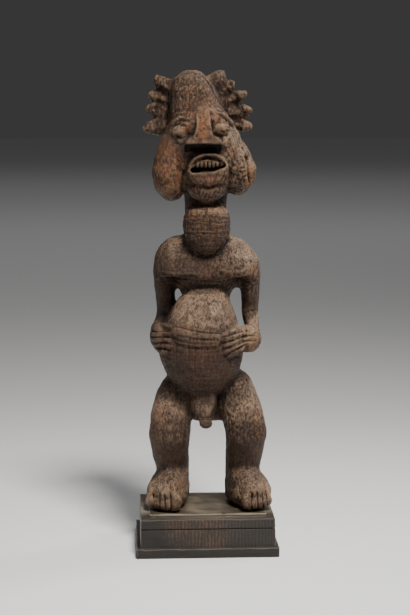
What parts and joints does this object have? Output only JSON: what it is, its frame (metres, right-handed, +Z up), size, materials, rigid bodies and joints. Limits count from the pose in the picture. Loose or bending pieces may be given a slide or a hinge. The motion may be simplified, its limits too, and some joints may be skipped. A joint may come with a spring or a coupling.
{
  "type": "carved wooden fertility statue",
  "caption": "Old carved wooden standing male fertility figure with swollen cheeks and belly, hands on the belly, on a thin steel plate and a stepped wooden plinth.",
  "frame": {"origin": "centre of the underside of the plinth", "axes": "+Z up, the figure faces -Y, +X to the right of someone facing it"},
  "size_m": [0.256, 0.202, 0.868],
  "materials": {
    "carved_wood": "old carved hardwood with a worn dark patina and pale crust",
    "dark_steel": "dark patinated sheet steel, satin",
    "stained_wood": "dark brown stained wood, rubbed satin"
  },
  "bodies": {
    "root": {"figure": "carved_wood", "mounting_plate": "dark_steel", "plinth": "stained_wood"}
  },
  "joints": []
}
